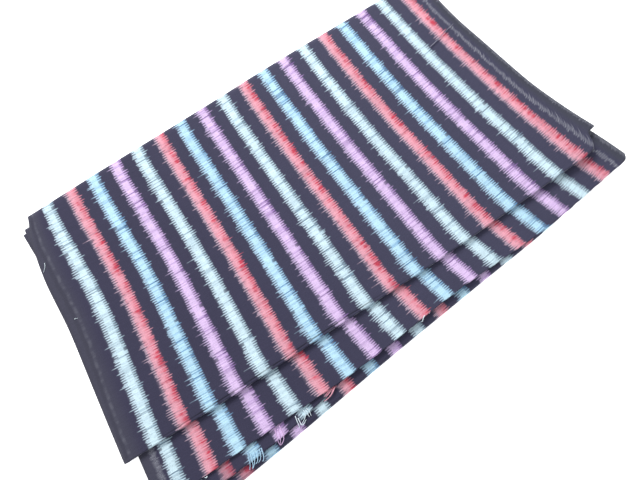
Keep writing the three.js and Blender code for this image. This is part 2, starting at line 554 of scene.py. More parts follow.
    def lay_out(self, mesh: bpy.types.Mesh) -> None:
        """Give the mesh the cloth's own map: millimetres across it, and along it as if beaten evenly."""
        places = np.tile(grid(self.widths, self.beaten), (2, 1))
        mesh.uv_layers.new(name="cloth").data.foreach_set("uv", places[point_at_corners(mesh)].ravel())

    def lay_out_for_baking(self, mesh: bpy.types.Mesh, faces: int) -> None:
        """Give the mesh a map without overlaps, with the most room for what shows.

        Args:
            mesh: the cloth's mesh, with its rim's faces last.
            faces: how many faces come before those of the rim.
        """
        border = 0.01
        rim_width = 0.4 * border
        rows, columns = self.points.shape[:2]
        count = rows * columns
        scale = (1.0 - 3.0 * border) / self.room[-1].sum()
        along = self.room * scale + border
        along[:, 1] += self.room[-1, 0] * scale + border
        across = border + (1.0 - 2.0 * border) * self.widths / WIDTH
        places = np.concatenate([grid(across, along[:, 0]), grid(1.0 - across, along[:, 1])])
        corners = point_at_corners(mesh)
        spots = places[corners]
        rim = corners[4 * faces :]
        # The way outward on the map at each side of the rim, and how many points that side has
        sides = (((0.0, -1.0), columns), ((0.0, 1.0), columns), ((-1.0, 0.0), rows), ((1.0, 0.0), rows))
        outward = [way for way, points in sides for _ in range(points - 1)]
        beyond = np.repeat(np.array(outward), 4, axis=0) * (rim >= count)[:, None]
        spots[4 * faces :] = places[rim % count] + beyond * rim_width
        mesh.uv_layers.new(name="OFBake").data.foreach_set("uv", spots.ravel())

    def fold_place(self, end: End) -> float:
        """How far along the middle of a fold lies, on the cloth's own map."""
        row = 0
        for layer in ROUTE:
            row += layer.steps + 1
            if layer.stop is end:
                return float(self.beaten[row + self.arc_steps // 2 - 1])
            row += self.arc_steps - 1
        raise ValueError(f"the cloth has no fold after a layer at the {end.value}")

    @property
    def widths(self) -> np.ndarray:
        """Where the mesh's columns lie, in millimetres from the left selvedge."""
        wide = np.linspace(0.0, LAST_STRIPE, self.columns + 1)
        return np.concatenate([wide, np.linspace(LAST_STRIPE, WIDTH, self.margin_columns + 1)[1:]])

    @property
    def length(self) -> float:
        """Length of the cloth along its stripes, from one cut end to the other."""
        return float(self.along[-1])


@dataclass(frozen=True)
class Number:
    """A number that varies over a surface, as one output of a node tree."""

    tree: bpy.types.NodeTree
    socket: bpy.types.NodeSocket

    def _math(self, operation: str, *others: "Number | float") -> "Number":
        """Combine this number with others in one math node."""
        node = self.tree.nodes.new("ShaderNodeMath")
        node.operation = operation
        self.tree.links.new(self.socket, node.inputs[0])
        for slot, other in enumerate(others, start=1):
            if isinstance(other, Number):
                self.tree.links.new(other.socket, node.inputs[slot])
            else:
                node.inputs[slot].default_value = other
        return Number(self.tree, node.outputs[0])

    def __add__(self, other: "Number | float") -> "Number":
        """Sum."""
        return self._math("ADD", other)

    def __sub__(self, other: "Number | float") -> "Number":
        """Difference."""
        return self._math("SUBTRACT", other)

    def __mul__(self, other: "Number | float") -> "Number":
        """Product."""
        return self._math("MULTIPLY", other)

    def __truediv__(self, other: "Number | float") -> "Number":
        """Quotient."""
        return self._math("DIVIDE", other)

    def power(self, exponent: float) -> "Number":
        """Raise to a power."""
        return self._math("POWER", exponent)

    def floor(self) -> "Number":
        """Round down."""
        return self._math("FLOOR")

    def sine(self) -> "Number":
        """Sine."""
        return self._math("SINE")

    def above(self, limit: "Number | float") -> "Number":
        """1 where the number is over a limit, else 0."""
        return self._math("GREATER_THAN", limit)

    def wrap(self, period: float) -> "Number":
        """Remainder over a period."""
        return self._math("WRAP", period, 0.0)

    def size(self) -> "Number":
        """Absolute value."""
        return self._math("ABSOLUTE")

    def clipped(self, low: float, high: float) -> "Number":
        """Hold between two limits."""
        return self._math("MAXIMUM", low)._math("MINIMUM", high)

    def ramp(self, low: float, high: float) -> "Number":
        """Rise smoothly from 0 to 1 between two values, or fall if high is under low."""
        node = self.tree.nodes.new("ShaderNodeMapRange")
        node.interpolation_type = "SMOOTHSTEP"
        node.inputs["From Min"].default_value = low
        node.inputs["From Max"].default_value = high
        self.tree.links.new(self.socket, node.inputs["Value"])
        return Number(self.tree, node.outputs["Result"])


def pair(first: Number, second: "Number | float") -> bpy.types.NodeSocket:
    """Join two numbers into a vector."""
    node = first.tree.nodes.new("ShaderNodeCombineXYZ")
    first.tree.links.new(first.socket, node.inputs["X"])
    if isinstance(second, Number):
        first.tree.links.new(second.socket, node.inputs["Y"])
    else:
        node.inputs["Y"].default_value = second
    return node.outputs["Vector"]


def chance(first: Number, second: "Number | float") -> Number:
    """A random number from 0 to 1 for each pair of whole numbers."""
    node = first.tree.nodes.new("ShaderNodeTexWhiteNoise")
    node.noise_dimensions = "2D"
    first.tree.links.new(pair(first, second), node.inputs["Vector"])
    return Number(first.tree, node.outputs["Value"])


def drift(first: Number, second: "Number | float", detail: float = 1.0) -> Number:
    """A soft noise from 0 to 1 that wanders with two numbers."""
    node = first.tree.nodes.new("ShaderNodeTexNoise")
    node.noise_dimensions = "2D"
    node.inputs["Scale"].default_value = 1.0
    node.inputs["Detail"].default_value = detail
    first.tree.links.new(pair(first, second), node.inputs["Vector"])
    return Number(first.tree, node.outputs[0])


def wander(place: Number, every: float, seed: "Number | float", by: float) -> Number:
    """Stray softly to both sides, changing about every so many millimetres."""
    return (drift(place / every, seed) - 0.5) * by


def stray(first: Number, second: "Number | float", by: "Number | float") -> Number:
    """Stray to both sides by chance, anew for each pair of whole numbers."""
    return (chance(first, second) - 0.5) * by


def blend(
    share: Number, first: "bpy.types.NodeSocket | Colour", second: "bpy.types.NodeSocket | Colour"
) -> bpy.types.NodeSocket:
    """Mix two colours.

    Args:
        share: how much of the second colour there is.
        first: the colour where the share is 0.
        second: the colour where the share is 1.

    Returns:
        The mixed colour.
    """
    node = share.tree.nodes.new("ShaderNodeMix")
    node.data_type = "RGBA"
    share.tree.links.new(share.socket, node.inputs["Factor"])
    for name, colour in (("A", first), ("B", second)):
        socket = next(s for s in node.inputs if s.name == name and s.type == "RGBA")
        if isinstance(colour, bpy.types.NodeSocket):
            share.tree.links.new(colour, socket)
        else:
            socket.default_value = colour
    return next(s for s in node.outputs if s.type == "RGBA")


def linear(red: int, green: int, blue: int) -> Colour:
    """Turn a colour as seen, from 0 to 255, into a shader's colour."""
    shares = [value / 255.0 for value in (red, green, blue)]
    return tuple([s / 12.92 if s < 0.04045 else ((s + 0.055) / 1.055) ** 2.4 for s in shares]) + (1.0,)


@dataclass(frozen=True)
class Dye:
    """One colour of stripe: its core, its deeper right side and its left feathers."""

    core: Tone
    deep: Tone
    feather: Tone


class StripeColour(Enum):
    """The stripes' colours, in the order in which they repeat from the left."""

    WHITE = Dye((219, 243, 251), (142, 170, 188), (206, 228, 240))
    RED = Dye((237, 170, 185), (203, 52, 74), (208, 178, 194))
    BLUE = Dye((198, 236, 252), (108, 160, 206), (184, 216, 238))
    LILAC = Dye((233, 204, 244), (152, 112, 180), (206, 184, 222))


class WeaveGroup:
    """The plain weave of the cotton, as a node group that cloth and loose threads share."""

    NAME = "cotton weave"
    WARP_PITCH = 0.9  # from one of the threads that run along the cloth to the next

    @classmethod
    def place(cls, across: Number, along: Number) -> bpy.types.Node:
        """Add the weave to the tree of two numbers, which place it in millimetres."""
        weave = across.tree.nodes.new("ShaderNodeGroup")
        weave.node_tree = bpy.data.node_groups.get(cls.NAME) or cls._build()
        across.tree.links.new(across.socket, weave.inputs["Across"])
        across.tree.links.new(along.socket, weave.inputs["Along"])
        return weave

    @classmethod
    def _build(cls) -> bpy.types.NodeTree:
        """Build the group: two sets of threads that pass over each other, and soft specks."""
        tree = bpy.data.node_groups.new(cls.NAME, "ShaderNodeTree")
        for name in ("Across", "Along"):
            tree.interface.new_socket(name=name, in_out="INPUT", socket_type="NodeSocketFloat")
        for name in ("Height", "Shade"):
            tree.interface.new_socket(name=name, in_out="OUTPUT", socket_type="NodeSocketFloat")
        inputs = tree.nodes.new("NodeGroupInput")
        outputs = tree.nodes.new("NodeGroupOutput")
        across = Number(tree, inputs.outputs["Across"])
        along = Number(tree, inputs.outputs["Along"])
        over = (across * (2.0 * math.pi / cls.WARP_PITCH)).sine()
        under = (along * (2.0 * math.pi / THREAD_PITCH)).sine()
        specks = drift(across / 0.6, along / 0.5, 2.0)
        slubs = drift(across / 7.0, along / 0.8, 1.0)
        clouds = drift(across / 26.0, along / 34.0, 2.0)
        height = over * under * 0.25 + under * 0.3 + specks
        shade = clouds * 0.12 + specks * 0.42 + slubs * 0.16 + 0.65
        tree.links.new(height.socket, outputs.inputs["Height"])
        tree.links.new(shade.socket, outputs.inputs["Shade"])
        return tree


class Seed(float, Enum):
    """Where each chance and drift of the dyeing and of the painted light and shade is read, so that no two
    of them go together.
    """

    FOLD_HIGHLIGHT = 3.0
    LEFT_STREAK = 5.0
    LEFT_STREAK_TONE = 6.0
    CREASE_PLACE = 7.0
    CREASE_TONE = 11.0
    RIDGE_PLACE = 21.0
    RIDGE_TONE = 23.0
    LEFT_END = 40.0
    SLOW_TONE = 50.0
    RIGHT_END = 80.0
    SHARED_FEATHER = 90.0
    RED_THREAD = 160.0
    FINE_TONE = 300.0
    DARK_LINE = 330.0
    LONG_LEFT = 500.0
    RAGGED_END = 600.0
    LONG_RIGHT = 700.0
    TURNED_THREAD = 900.0


@dataclass(frozen=True)
class Streak:
    """One grey feathered streak in the right margin, in millimetres across the cloth."""

    middle: float  # from the left selvedge
    half: float  # least width to each side of the middle
    ragged: float  # how far its threads' colours are moved by chance
    strength: float


@dataclass(frozen=True)
class Spot:
    """Where a point of the cloth lies: on which thread, and in which stripe."""

    along: Number
    thread: Number  # the thread's number, from the upper cut edge
    stripe: Number  # the stripe's number, from the left
    kind: Number  # its colour's number
    offset: Number  # millimetres to the right of the stripe's middle

    @property
    def red(self) -> Number:
        """1 in the red stripes, else 0."""
        return (self.kind - 1.0).size().ramp(0.6, 0.4)

    @property
    def second(self) -> Number:
        """1 on every second thread, else 0."""
        return self.thread.wrap(2.0).above(0.5)

    def thin(self, full: float) -> Number:
        """1 in the middle of a thread, to a share of its pitch on each side, and 0 at its sides."""
        return (self.along / THREAD_PITCH - self.thread - 0.5).size().ramp(0.5, full)


@dataclass(frozen=True)
class FeatheredCotton:
    """The cloth's finish: feathered stripes on a dark ground, each thread dyed at its own places.

    Every second thread's colours lie a little further to the right, so each stripe has a full
    core between two half-toned bands. All sizes are in millimetres, and places along the cloth are
    those of its own map.
    """

    top_fold: float  # place along of the middle of the top layer's near fold
    outer_fold: float
    lower_cut: float
    ground: Tone = (60, 58, 79)
    right_ground: Tone = (68, 67, 88)
    margin: Tone = (70, 69, 84)
    # grey of the margin's streaks, also used for the painted highlights on the top fold and on the margin's
    # ridge
    streak: Tone = (162, 163, 172)
    selvedge: Tone = (67, 68, 80)
    # painted shade, for the groove beside the top fold and the hollow beside the margin's ridge
    painted_shade: Tone = (24, 24, 34)
    crease_at: float = 1.9  # from the top fold's middle to the crease beside it
    crease_half: float = 0.62
    crease_to: float = 225.0  # how far across the crease runs
    highlight_half: float = 0.6  # half the width of the painted highlight along the top fold's edge
    loose_from: float = 278.0  # where a lighter thread in that line starts
    loose_to: float = 362.0
    ridge_light_at: float = 5.4  # from the left selvedge to the painted highlight on the ridge in the margin, at the top fold
    ridge_light_half: float = 1.6
    ridge_light_to: float = 175.0  # how far past the top fold it runs
    dim: float = 0.42  # share by which the lower layers' stripes are dimmed at their left ends
    dim_to: float = 80.0
    set_over: float = 1.1  # how far a stripe lies to the right of its even place
    core_left: float = 2.6  # from a stripe's middle to the left end of its core
    core_right: float = 2.75
    band: float = 2.55  # width of the half-toned band on each side
    softness: float = 0.8
    sway: float = 0.8  # how far a stripe strays from side to side
    streaks: tuple[Streak, ...] = (
        Streak(LAST_STRIPE + 13.0, 1.1, 1.4, 0.68),
        Streak(WIDTH - 0.9, 0.7, 0.9, 0.5),
    )
    left_streak_at: float = 11.2  # from the left selvedge to the streak near the upper cut edge
    left_streak_to: float = 46.0  # how far it runs along from that edge
    roughness: float = 0.92
    sheen: float = 0.06
    shine: float = 0.2
    relief: float = 0.35  # strength of the weave's own relief
    relief_depth: float = 0.12

    def build(self) -> bpy.types.Material:
        """Make the material.

        Returns:
            The finish of the cloth, placed by the cloth's own map.
        """
        material = bpy.data.materials.new("feathered cotton")
        material.use_nodes = True
        tree = material.node_tree
        sizes = tree.nodes.new("ShaderNodeUVMap")
        sizes.uv_map = "cloth"
        split = tree.nodes.new("ShaderNodeSeparateXYZ")
        tree.links.new(sizes.outputs["UV"], split.inputs["Vector"])
        across = Number(tree, split.outputs["X"])
        level = Number(tree, split.outputs["Y"])
        along = level - (across - SAG_MIDDLE).power(2.0) * SAG
        weave = WeaveGroup.place(across, along)
        colour = self.creased(self.dyed(across, along), across, level)
        bright = tree.nodes.new("ShaderNodeVectorMath")
        bright.operation = "SCALE"
        tree.links.new(colour, bright.inputs[0])
        tree.links.new(weave.outputs["Shade"], bright.inputs["Scale"])
        shader = tree.nodes["Principled BSDF"]
        tree.links.new(bright.outputs[0], shader.inputs["Base Color"])
        shader.inputs["Roughness"].default_value = self.roughness
        shader.inputs["Sheen Weight"].default_value = self.sheen
        shader.inputs["Specular IOR Level"].default_value = self.shine
        bump = tree.nodes.new("ShaderNodeBump")
        bump.inputs["Strength"].default_value = self.relief
        bump.inputs["Distance"].default_value = self.relief_depth * MM
        tree.links.new(weave.outputs["Height"], bump.inputs["Height"])
        tree.links.new(bump.outputs["Normal"], shader.inputs["Normal"])
        return material

    def creased(self, colour: bpy.types.NodeSocket, across: Number, level: Number) -> bpy.types.NodeSocket:
        """Add a painted highlight along the top layer's near fold, and painted shade in the groove beside
        it.
        """
        # painted highlight where light catches the top fold's edge
        highlight = (level - self.top_fold).size().ramp(self.highlight_half, 0.15)
        highlight = highlight * drift(across / 9.0, Seed.FOLD_HIGHLIGHT).ramp(0.4, 0.6)
        loose = (level - (self.top_fold - 0.2)).size().ramp(0.5, 0.12)
        loose = loose * across.ramp(self.loose_from, self.loose_from + 22.0)
        loose = loose * across.ramp(self.loose_to, self.loose_to - 12.0)
        colour = blend((highlight * 0.4 + loose * 0.55).clipped(0.0, 0.75), colour, linear(*self.streak))
        colour = self.dimmed(self.ridge_lit_and_shaded(colour, across, level), across, level)
        # painted shade along the groove beside the top fold
        bent = level - (self.top_fold + self.crease_at) - wander(across, 21.0, Seed.CREASE_PLACE, 0.9)
        dark = bent.size().ramp(self.crease_half, 0.1)
        dark = dark * across.ramp(self.crease_to, self.crease_to - 65.0) * across.ramp(14.0, 46.0)
        uneven = drift(across / 13.0, Seed.CREASE_TONE).ramp(0.3, 0.6) * 0.35 + 0.45
        return blend(dark * uneven, colour, linear(*self.painted_shade))

    def ridge_lit_and_shaded(self, colour: bpy.types.NodeSocket, across: Number, level: Number) -> bpy.types.NodeSocket:
        """Paint a highlight on the soft ridge in the left margin, and painted shade in the hollow beside
        it.
        """
        reach = level - self.top_fold
        middle = reach.ramp(0.0, 85.0) * 2.7 - reach.ramp(100.0, 165.0) * 3.4 + self.ridge_light_at
        beside = across - middle + wander(level, 6.0, Seed.RIDGE_PLACE, 1.4)
        shown = reach.ramp(0.0, 4.0) * reach.ramp(self.ridge_light_to, self.ridge_light_to - 25.0)
        grain = drift(level / 4.0, Seed.RIDGE_TONE, 2.0).ramp(0.35, 0.7)
        # painted highlight on the ridge
        highlight = beside.size().ramp(self.ridge_light_half, 0.1) * (grain * 0.13 + 0.015) * shown
        # painted shade in the hollow beside the ridge
        hollow = (beside + 2.3).size().ramp(2.0, 0.4) * shown * 0.16
        colour = blend(hollow, colour, linear(*self.painted_shade))
        return blend(highlight, colour, linear(*self.streak))

    def dimmed(self, colour: bpy.types.NodeSocket, across: Number, level: Number) -> bpy.types.NodeSocket:
        """Dim the lower layers' stripes at their left ends, where little light gets in."""
        by_fold = (level - self.outer_fold).size().ramp(55.0, 30.0)
        by_cut = (level - self.lower_cut).size().ramp(45.0, 25.0)
        inward = across.ramp(self.dim_to, self.dim_to - 50.0)
        return blend((by_fold + by_cut) * inward * self.dim, colour, linear(*self.ground))

    def dyed(self, across: Number, along: Number) -> bpy.types.NodeSocket:
        """Colour of the cloth.

        Args:
            across: places across the cloth, from its left selvedge.
            along: places along the cloth, from its upper cut edge, less the sag of the threads.

        Returns:
            The colour, before the weave's own shade.
        """
        thread = (along / THREAD_PITCH).floor()
        place = across - (FIRST_STRIPE - STRIPE_PITCH / 2.0)
        stripe = (place / STRIPE_PITCH).floor().clipped(0.0, STRIPES - 1.0)
        kind = stripe.wrap(float(len(StripeColour)))
        offset = place - stripe * STRIPE_PITCH - (STRIPE_PITCH / 2.0 + self.set_over)
        spot = Spot(along, thread, stripe, kind, offset)
        inside = self.stripe_mask(spot)
        colour = blend(across.ramp(70.0, 260.0), linear(*self.ground), linear(*self.right_ground))
        colour = blend(across.ramp(15.0, 6.0), colour, linear(*self.margin))
        colour = blend(across.ramp(WIDTH - 9.0, WIDTH - 3.0), colour, linear(*self.selvedge))
        colour = blend(self.streak_mask(across, spot), colour, linear(*self.streak))
        return blend(inside, colour, self.stripe_colour(spot))

    def stripe_mask(self, spot: Spot) -> Number:
        """How far a spot is inside a stripe's threads, from 0 to 1."""
        faded = self.core_left + self.band
        red = spot.red
        turned = chance(spot.thread, Seed.TURNED_THREAD).above(0.975)
        lean = (spot.second - turned).size()
        shift = spot.offset - wander(spot.along, 14.0, spot.stripe * 7.0, self.sway) - red * 0.2
        ragged = stray(spot.thread, spot.stripe + Seed.RAGGED_END, red)
        left = self.feather(spot, Seed.LEFT_END) * 0.85
        left = left + ragged * 1.2 - red * 0.2 - lean * self.band + faded
        right = self.feather(spot, Seed.RIGHT_END) * 0.45
        right = right + ragged + lean * self.band + (red - red * lean) * 1.2 + self.core_right
        from_left = (shift + left) / (red * 1.5 + self.softness)
        from_right = (right - shift) / (red * 1.2 + self.softness)
        to_right = shift.ramp(-1.0, 1.0)
        weaker = shift.size().ramp(self.core_left - 0.4, faded + 0.6) * (to_right * 0.24 - 0.66) + 0.98
        haze = shift.size().ramp(faded + 0.9, self.core_left - 0.2) * (to_right * 0.08 + 0.34)
        inside = from_left.clipped(0.0, 1.0) * from_right.clipped(0.0, 1.0) * weaker
        far_left = (shift + left + self.long_feather(spot, Seed.LONG_LEFT)).clipped(0.0, 1.0)
        far_right = (right - shift + self.long_feather(spot, Seed.LONG_RIGHT) * 0.6).clipped(0.0, 1.0)
        fading = shift.size().ramp(faded - 0.5, faded + 3.0) * -0.6 + 0.8
        hair = far_left * far_right * spot.thin(0.2) * fading
        inside = inside + haze - inside * haze
        return inside + hair - inside * hair

    def feather(self, spot: Spot, seed: float) -> Number:
        """How far the end of a thread's colour strays with its own dyeing and its bundle's."""
        own = stray(spot.thread, spot.stripe + seed, 0.55)
        bundle = wander(spot.along, 3.2, spot.stripe * 7.0 + seed, 0.5)
        burst = drift(spot.along / 4.5, seed).ramp(0.62, 0.76) * 0.45
        return own + bundle + burst

    def long_feather(self, spot: Spot, seed: float) -> Number:
        """How much further a few threads' colour runs, some of them at every stripe."""
        own = chance(spot.thread, spot.stripe + seed).power(8.0) * 3.9
        shared = chance(spot.thread, seed + Seed.SHARED_FEATHER).power(14.0) * 3.4
        return own + shared

    def stripe_colour(self, spot: Spot) -> bpy.types.NodeSocket:
        """Colour of a stripe's threads, deeper to the right and in some threads."""
        fine = spot.second * 0.07 + chance(spot.thread, spot.stripe + Seed.FINE_TONE).power(4.0) * 0.5
        lines = chance(spot.thread, spot.stripe + Seed.DARK_LINE).power(15.0) * 0.8
        colour = None
        for number, name in enumerate(StripeColour):
            dye = name.value
            if name is StripeColour.RED:
                share = self.red_share(spot)
            else:
                share = spot.offset.ramp(0.8, 4.8) * 0.4 + fine + lines
            one = blend(share.clipped(0.0, 1.0), linear(*dye.core), linear(*dye.deep))
            one = blend(spot.offset.ramp(-1.6, -4.2), one, linear(*dye.feather))
            colour = one if colour is None else blend(spot.kind.above(number - 0.5), colour, one)
        slow = drift(spot.along / 9.0, spot.stripe * 5.0 + Seed.SLOW_TONE).ramp(0.42, 0.7) * 0.08
        streaks = drift(spot.offset / 2.4 + spot.stripe * 30.0, spot.along / 0.9, 2.0)
        streaks = streaks.ramp(0.5, 0.75) * 0.14
        return blend(slow + streaks + lines * 0.4, colour, linear(*self.ground))

    def red_share(self, spot: Spot) -> Number:
        """How deep the red is: in streaks, mostly on the stripe's right half."""
        patches = drift(spot.along / 6.0, spot.offset / 8.0 + spot.stripe * 9.0, 2.0).ramp(0.42, 0.62)
        threads = chance(spot.thread, spot.stripe + Seed.RED_THREAD).ramp(0.45, 1.0)
        rungs = spot.thread.wrap(2.0) * -0.3 + 0.3
        deep = spot.offset.ramp(-1.2, 3.4) * (patches * 0.3 + threads * 0.42 + rungs + 0.12)
        return (deep + threads * patches * 0.36).clipped(0.0, 0.92)

    def streak_mask(self, across: Number, spot: Spot) -> Number:
        """Grey feathered streaks in the right margin, and one at the left near the upper cut edge."""
        thin = spot.thin(0.25)
        second = spot.second * 0.75 + 0.25
        total = None
        for streak in self.streaks:
            jitter = stray(spot.thread, streak.middle, streak.ragged)
            sway = wander(spot.along, 24.0, streak.middle, self.sway)
            reach = chance(spot.thread, streak.middle + 20.0).power(2.0) * 1.3 + streak.half
            inside = (reach - (across - streak.middle + jitter + sway).size() + 0.3).clipped(0.0, 1.0)
            tone = chance(spot.thread, streak.middle + 9.0) * 0.6 + 0.4
            one = inside * (thin * second * tone * streak.strength + 0.1)
            total = one if total is None else total + one
        beside = across - self.left_streak_at + stray(spot.thread, Seed.LEFT_STREAK, 1.6)
        shown = spot.along.ramp(self.left_streak_to, self.left_streak_to - 12.0)
        grain = drift(across / 0.5, spot.along / 0.45, 1.0).ramp(0.3, 0.7)
        tone = grain * 0.5 + chance(spot.thread, Seed.LEFT_STREAK_TONE) * 0.2
        return (total + beside.size().ramp(4.0, 0.8) * shown * tone).clipped(0.0, 1.0)


class ThreadColour(Enum):
    """The colours of the loose threads."""

    WHITE = (232, 244, 250)
    RED = (238, 172, 188)
    BLUE = (190, 224, 246)
    LILAC = (226, 190, 230)
    GREY = (150, 150, 164)
    DARK = (70, 66, 74)

    @property
    def label(self) -> str:
        """The colour's name, for pieces and materials."""
        return self.name.lower()


ASIDE = (0.31, 0.17, 0.93)  # a direction in which no loose thread runs
FREE_FROM = 7.0  # height at which threads come free of the lower cut edge
SINK = 1.3  # how far they sink from there to the layer below


@dataclass(frozen=True)
class LooseThread:
    """One thread that came free: the places that it runs through and its radius, in millimetres."""

    places: tuple[tuple[float, float, float], ...]
    radius: float = 0.31
    taper: float = 0.45

    @classmethod
    def sinking(cls, *spots: tuple[float, float]) -> "LooseThread":
        """A thread that sinks more and more steeply from the lower cut edge to the layer below."""
        shares = [number / (len(spots) - 1) for number in range(len(spots))]
        heights = [round(FREE_FROM - SINK * share**2, 1) for share in shares]
        return cls(tuple((x, y, z) for (x, y), z in zip(spots, heights)))

    def rings(self, steps: int, sides: int) -> np.ndarray:
        """Circles of points round the thread, thinner at its loose end.

        Args:
            steps: how many circles there are between two places.
            sides: how many points each circle has.

        Returns:
            The points, circle by circle.
        """
        knots = np.arange(len(self.places), dtype=float)
        at = np.linspace(0.0, knots[-1], steps * (len(knots) - 1) + 1)
        places = np.array(self.places) - np.array([CENTRE_X, CENTRE_Y, 0.0])
        line = np.stack([through(at, knots, places[:, axis]) for axis in range(3)], axis=1)
        ahead = np.gradient(line, axis=0)
        ahead /= np.linalg.norm(ahead, axis=1, keepdims=True)
        side = np.cross(ahead, np.array(ASIDE))
        side /= np.linalg.norm(side, axis=1, keepdims=True)
        over = np.cross(side, ahead)
        turn = np.linspace(0.0, 2.0 * math.pi, sides, endpoint=False)[None, :, None]
        radius = self.radius * (1.0 - self.taper * at / knots[-1])[:, None, None]
        return line[:, None] + radius * (np.cos(turn) * side[:, None] + np.sin(turn) * over[:, None])


# Each colour's threads: first those at the lower cut edge, then those at the upper one, the ones that
# lie on the top layer, and last those that hang from it
LOOSE_THREADS = {
    ThreadColour.WHITE: (
        LooseThread.sinking((81.3, -32.4), (80.7, -35.8), (80.3, -38.1), (79.8, -39.5)),
        LooseThread.sinking((82.2, -34.3), (81.9, -38.1), (82.4, -39.1), (83.8, -38.8), (85.7, -37.6)),
        LooseThread.sinking((87.4, -32.3), (87.3, -34.8), (85.6, -36.5), (82.3, -38.4)),
        LooseThread.sinking((89.5, -32.4), (90.1, -34.5), (89.6, -37.6)),
        LooseThread.sinking((88.6, -32.9), (88.4, -35.9), (88.3, -37.5)),
        LooseThread(((188.8, -26.1, 7.0), (186.8, -27.7, 6.4))),
        LooseThread(((190.3, -26.4, 7.0), (188.1, -26.7, 6.8), (186.6, -27.5, 6.4))),
        LooseThread(
            ((183.2, -27.0, 8.4), (181.6, -27.9, 8.3), (179.9, -29.2, 7.8), (179.2, -29.0, 7.1)), 0.3
        ),
        LooseThread(((18.9, -32.0, 8.3), (17.8, -32.2, 8.0), (16.7, -31.4, 7.2)), 0.35),
        LooseThread(
            ((-17.2, 154.7, 11.4), (-17.9, 152.0, 11.5), (-19.3, 149.8, 11.5), (-20.9, 148.5, 11.2)), 0.22
        ),
        LooseThread(((-14.2, 103.8, 10.7), (-11.8, 103.0, 10.8)), 0.22),
        LooseThread(((-21.5, 31.0, 9.0), (-24.9, 32.1, 3.0), (-31.5, 35.5, 0.8), (-35.0, 38.4, 0.4)), 0.07),
    ),
    ThreadColour.RED: (
        LooseThread.sinking((111.1, -31.7), (108.2, -33.5), (105.2, -34.6), (100.9, -34.9)),
        LooseThread.sinking((109.0, -31.3), (106.7, -32.5), (103.9, -33.2), (100.9, -32.8)),
        LooseThread.sinking((107.3, -30.8), (104.7, -32.2), (101.0, -33.4)),
        LooseThread.sinking((109.7, -32.2), (106.7, -34.0), (102.4, -35.2)),
    ),
    ThreadColour.BLUE: (
        LooseThread.sinking((45.8, -34.4), (44.7, -37.5), (43.8, -40.3), (41.9, -42.8)),
        LooseThread.sinking((47.2, -35.6), (46.0, -39.3), (45.1, -41.6), (43.6, -43.4)),
        LooseThread.sinking((49.4, -36.0), (47.8, -39.5), (45.9, -41.7), (44.0, -43.2)),
        LooseThread.sinking((51.1, -36.5), (49.7, -39.8), (48.0, -41.6), (46.5, -41.9)),
        LooseThread.sinking((52.9, -36.3), (52.1, -39.3), (50.5, -41.3), (48.4, -42.4)),
        LooseThread.sinking((54.3, -36.5), (53.4, -40.1), (52.3, -42.4), (50.9, -43.0)),
    ),
    ThreadColour.LILAC: (
        LooseThread.sinking((67.1, -31.0), (65.9, -34.7), (64.9, -38.4), (64.6, -41.2)),
        LooseThread.sinking((70.1, -31.4), (69.9, -35.3), (68.8, -39.0), (66.9, -40.7), (64.8, -41.4)),
        LooseThread.sinking((68.3, -32.6), (67.4, -36.7), (66.2, -39.3), (64.8, -40.9)),
    ),
    ThreadColour.GREY: (
        LooseThread(
            (
                (313.0, 136.4, 11.7),
                (320.9, 138.0, 11.8),
                (328.3, 140.0, 11.9),
                (334.4, 141.6, 11.8),
                (340.5, 143.1, 11.7),
            )
        ),
        LooseThread(((-13.4, 84.5, 10.4), (-11.6, 84.1, 10.5), (-11.2, 82.0, 10.4)), 0.14),
        LooseThread(
            ((-13.4, 76.4, 10.3), (-12.0, 76.4, 10.4), (-12.2, 74.7, 10.4), (-13.5, 74.0, 10.3)), 0.14
        ),
        LooseThread(((-18.3, 9.1, 9.8), (-17.9, 10.4, 9.9), (-16.6, 10.2, 9.9)), 0.16),
    ),
    ThreadColour.DARK: (
        LooseThread(((-18.8, 1.4, 8.6), (-22.0, 0.2, 6.0), (-26.0, -1.4, 3.0), (-30.0, -3.6, 0.4)), 0.09),
    ),
}


@dataclass(frozen=True)
class ThreadFinish:
    """The finish of the loose threads of one colour."""

    colour: ThreadColour
    roughness: float = 0.85
    shine: float = 0.2

    def build(self) -> bpy.types.Material:
        """Make the material, with the cloth's own weave in its shade."""
        material = bpy.data.materials.new(f"loose {self.colour.label} thread")
        material.use_nodes = True
        tree = material.node_tree
        place = tree.nodes.new("ShaderNodeTexCoord")
        split = tree.nodes.new("ShaderNodeSeparateXYZ")
        tree.links.new(place.outputs["Object"], split.inputs["Vector"])
        sizes = [Number(tree, split.outputs[axis]) / MM for axis in ("X", "Y")]
        weave = WeaveGroup.place(*sizes)
        bright = tree.nodes.new("ShaderNodeVectorMath")
        bright.operation = "SCALE"
        bright.inputs[0].default_value = linear(*self.colour.value)[:3]
        tree.links.new(weave.outputs["Shade"], bright.inputs["Scale"])
        shader = tree.nodes["Principled BSDF"]
        tree.links.new(bright.outputs[0], shader.inputs["Base Color"])
        shader.inputs["Roughness"].default_value = self.roughness
        shader.inputs["Specular IOR Level"].default_value = self.shine
        return material


